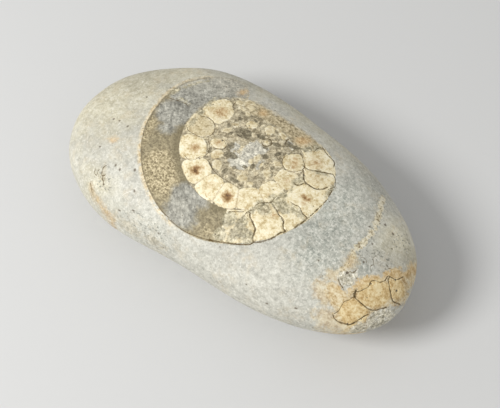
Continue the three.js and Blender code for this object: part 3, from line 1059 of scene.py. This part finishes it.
def ochreColour(tree, colour):
    # the second fossil patch, and hints of it round about
    hint = edge(tree, "hint", lump=1.2, fray=1.2, softness=0.8)
    body = rock(tree, ochre["body"])
    colour = cover(tree, times(tree, hint, ochre["hintCover"]), colour, body)
    band = edge(tree, within(tree, "band", 0.9), lump=1.5, fray=0.5, softness=0.5)
    body = layer(tree, band, body, ochre["band"])
    colour = cover(tree, edge(tree, "ochre", lump=1.6, fray=1.2, softness=0.5), colour, body)
    chamber = edge(tree, "ochreChambers", lump=1.0, fray=0.3, softness=0.25)
    colour = layer(tree, chamber, colour, ochre["chamber"])
    pale = edge(tree, "palePatches", lump=0.8, fray=0.6, softness=0.2)
    glints = crystals(tree, size=0.7, amount=0.6, seed=17)
    return layer(tree, pale, colour, ochre["grey"], glints)


def innerColour(tree):
    # the mosaic of the small inner whorls
    glints = crystals(tree, size=1.3, amount=0.55, seed=25)
    # the darker and lighter marking: its own tone here, painted shade and painted light at the pebble's
    # ends and edges
    tone = maths(tree, "ADD", "lightness", glints)
    colour = shade(tree, rock(tree, filling["inner"]), tone)
    spar = edge(tree, "sparPatches", lump=0.8, fray=0.7, softness=0.2)
    glints = crystals(tree, size=1.2, amount=0.6, seed=26)
    colour = layer(tree, spar, colour, filling["spar"], glints)
    dark = edge(tree, "darkPatches", lump=0.6, fray=0.27, softness=0.06)
    colour = layer(tree, dark, colour, filling["core"])
    worn = edge(tree, "worn", lump=1.0, fray=0.6, softness=0.4)
    return layer(tree, worn, colour, filling["worn"])


def livingColour(tree):
    # brown sediment and grey stone that fill the living chamber
    gritty = edge(tree, "grittyPatches", lump=1.5, fray=1.0, softness=1.5)
    colour = layer(tree, gritty, rock(tree, filling["brown"]), filling["grit"])
    lining = rise(tree, "lining", 2.6, 0.3)
    colour = layer(tree, lining, colour, filling["lining"])
    streaks = {"Vector": onPebble(tree), "Rotation": (0, 0, -0.98), "Scale": (3.0, 0.6, 1)}
    slanted = addNode(tree, "Mapping", streaks, vector_type="TEXTURE").outputs[0]
    hatch = between(tree, lumps(tree, slanted, 1.0, 3.0, 0.7), 0.3, 1.7)
    greyStone = rock(tree, filling["grey"])
    greyStone = layer(tree, "fadedTones", greyStone, filling["faded"])
    # the darker and lighter marking: its own tone here, painted shade and painted light at the pebble's
    # ends and edges
    greyStone = shade(tree, greyStone, maths(tree, "ADD", "lightness", hatch))
    grey = edge(tree, "greyPatches", lump=1.6, fray=0.7, softness=0.9)
    return cover(tree, times(tree, grey, filling["greyCover"]), colour, greyStone)


def calciteColour(tree):
    # the chambers: cream calcite, stained in places, with brown hearts and thin walls between them
    uneven = between(tree, spots(tree, size=1.5, threshold=0.5, softness=0.15, seed=42), 0.6, 1.2)
    stain = maths(tree, "MULTIPLY", times(tree, uneven, "stain"), 1.5, clamp=True)
    stain = times(tree, stain, rise(tree, "calcite", 0.15, 0.55))
    colour = layer(tree, stain, rock(tree, calcite["cream"]), calcite["stained"])
    uneven = between(tree, spots(tree, size=0.8, threshold=0.5, softness=0.2, seed=44), 0.5, 1.3)
    heart = times(tree, "heart", uneven)
    colour = layer(tree, rise(tree, heart, 0.04, 0.36), colour, calcite["halo"])
    colour = layer(tree, rise(tree, heart, 0.25, 0.6), colour, calcite["heart"])
    colour = layer(tree, rise(tree, heart, 0.6, 0.95), colour, calcite["core"])
    broken = spots(tree, size=1.0, threshold=0.42, softness=0.1, seed=46)
    wall = times(tree, rise(tree, "wall", 0.5, 0.1), broken)
    return layer(tree, wall, colour, calcite["wall"])


def fossilColour(tree, colour):
    # the tan line round the rim, the coil, the living chamber, the calcite and the murky patches, with
    # the masks of the calcite and of the living chamber
    fray, soft = between(tree, "fuzz", 0.1, 0.9), between(tree, "fuzz", 0.12, 1.02)
    crumbs = spots(tree, size=1.2, threshold=0.40, softness=0.15, seed=55)
    rim = times(tree, rise(tree, "coil", -1.2, -0.3), "rim", crumbs)
    colour = layer(tree, rim, colour, stone["rimLine"])
    coilMask = edge(tree, "coil", lump=1.1, fray=fray, softness=soft)
    colour = cover(tree, coilMask, colour, innerColour(tree))
    living = edge(tree, "living", lump=1.1, fray=fray, softness=soft)
    colour = cover(tree, living, colour, livingColour(tree))
    lip = times(tree, rise(tree, "coil", -0.1, 0.1), rise(tree, "coil", 0.5, 0.2), "rim")
    colour = layer(tree, lip, colour, calcite["lip"])
    fray, soft = between(tree, "stain", 0.16, 0.76), between(tree, "stain", 0.08, 0.33)
    shell = edge(tree, "calcite", lump=0.8, fray=fray, softness=soft)
    outline = times(tree, rise(tree, "calcite", -0.35, -0.05), rise(tree, "living", 0.3, -0.1))
    broken = spots(tree, size=0.9, threshold=0.45, softness=0.1, seed=51)
    outline = times(tree, outline, coilMask, broken, rise(tree, "stain", 0.8, 0.2))
    colour = layer(tree, outline, colour, calcite["outline"])
    shellShare = times(tree, shell, between(tree, "stain", 1.0, 0.7))
    colour = cover(tree, shellShare, colour, calciteColour(tree))
    murky = edge(tree, "murkyPatches", lump=0.9, fray=0.6, softness=0.3)
    glints = crystals(tree, size=0.8, amount=0.5, seed=54)
    # the darker and lighter marking: its own tone here, painted shade and painted light at the pebble's
    # ends and edges
    tone = maths(tree, "ADD", "lightness", glints)
    return layer(tree, murky, colour, filling["murky"], tone), shell, living


def finishColour(tree, colour):
    # lines, rust and pores over everything
    seam = useGroup(tree, hairline, {
        "Side": "seamSide", "Near": "seamNear", "Width": "seamWidth", "Wander": 0.05,
    })
    strength = between(tree, spots(tree, size=1.0, threshold=0.45, softness=0.15, seed=61), 0.65, 1.0)
    colour = layer(tree, times(tree, seam, strength), colour, calcite["seam"])
    rust = edge(tree, "rustSpots", lump=1.0, fray=0.7, softness=0.9)
    colour = layer(tree, rust, colour, calcite["rust"])
    scratch = useGroup(tree, hairline, {"Side": "scratch", "Near": 0.0, "Width": 0.14, "Wander": 0.04})
    broken = spots(tree, size=1.2, threshold=0.45, softness=0.1, seed=63)
    colour = layer(tree, times(tree, scratch, broken), colour, stone["scratch"])
    return layer(tree, rise(tree, "pore", 0.3, 0.95), colour, stone["pore"])


def makeLimestone():
    material = bpy.data.materials.new("fossilLimestone")
    material.use_nodes = True
    tree = material.node_tree
    shader = tree.nodes["Principled BSDF"]
    coordinates = addNode(tree, "TexCoord", {}).outputs["Object"]
    addNode(tree, "Mapping", {"Vector": coordinates, "Scale": (1 / mm, 1 / mm, 1 / mm)}, name="place")
    colour = veinColour(tree, stoneColour(tree))
    colour = ochreColour(tree, colour)
    colour, shell, living = fossilColour(tree, colour)
    tree.links.new(finishColour(tree, colour), shader.inputs["Base Color"])
    rough = between(tree, living, stone["roughness"], filling["roughness"])
    rough = maths(tree, "MULTIPLY_ADD", shell, calcite["roughness"] - stone["roughness"], rough)
    uneven = between(tree, spots(tree, size=1.5, threshold=0.5, softness=0.2, seed=71), 0.9, 1.1)
    tree.links.new(maths(tree, "MULTIPLY", rough, uneven, clamp=True), shader.inputs["Roughness"])
    fine = times(tree, lumps(tree, onPebble(tree), 0.4, 4.0, 0.7), between(tree, living, 1.0, 2.0))
    bump = addNode(tree, "Bump", {"Height": fine, "Strength": 1.0, "Distance": 0.06 * mm})
    tree.links.new(bump.outputs[0], shader.inputs["Normal"])
    return material


mesh.materials.append(makeLimestone())
print("the limestone is finished")

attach(piece, "root")
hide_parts(pebble["node"])
